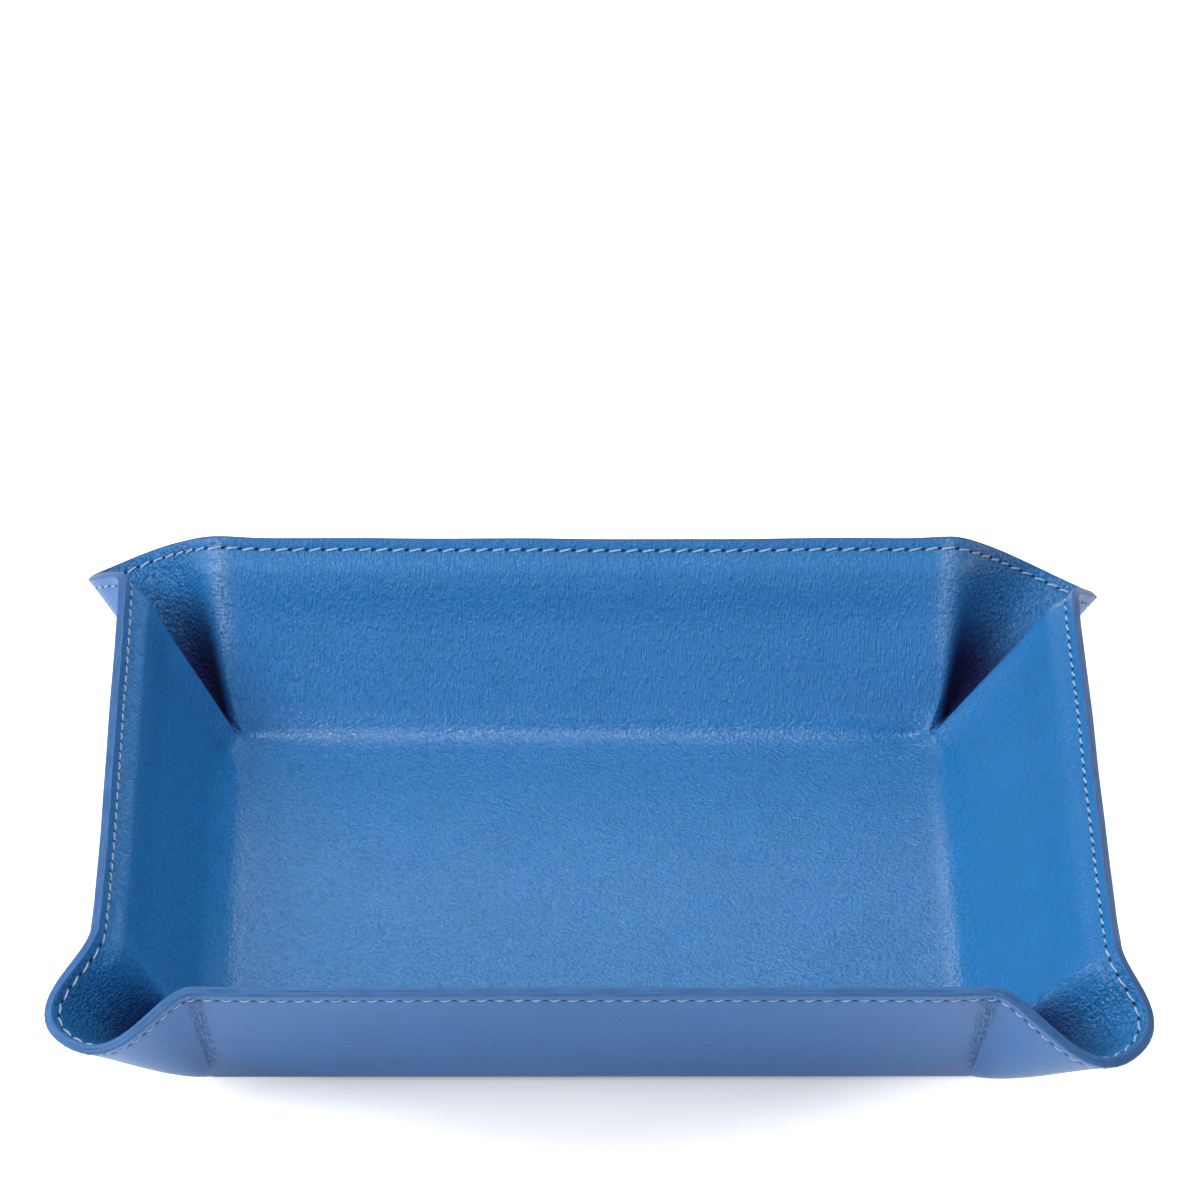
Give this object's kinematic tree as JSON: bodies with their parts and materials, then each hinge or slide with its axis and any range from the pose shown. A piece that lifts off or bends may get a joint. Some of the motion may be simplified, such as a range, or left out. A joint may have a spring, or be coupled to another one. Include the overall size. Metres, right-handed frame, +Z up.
{
  "type": "valet tray",
  "caption": "Shallow leather tray with leaning board-stiffened walls, pinched open corner loops and a stitched rim, for keys, coins and other pocket things.",
  "frame": {"origin": "middle of the base, on the surface that the tray stands on", "axes": "+X to the right along the long walls, +Y from the front wall to the back wall, +Z up"},
  "size_m": [0.2574, 0.2156, 0.0469],
  "materials": {
    "outer_leather": "smooth grain, satin",
    "inner_leather": "smooth grain, satin",
    "board": "matt fibre board",
    "thread": "twisted polyester thread"
  },
  "bodies": {
    "root": {"outer_leather": "outer_leather", "inner_leather": "inner_leather", "base_board": "board", "front_wall_board": "board", "back_wall_board": "board", "left_wall_board": "board", "right_wall_board": "board", "needle_thread": "thread", "bobbin_thread": "thread"}
  },
  "joints": []
}
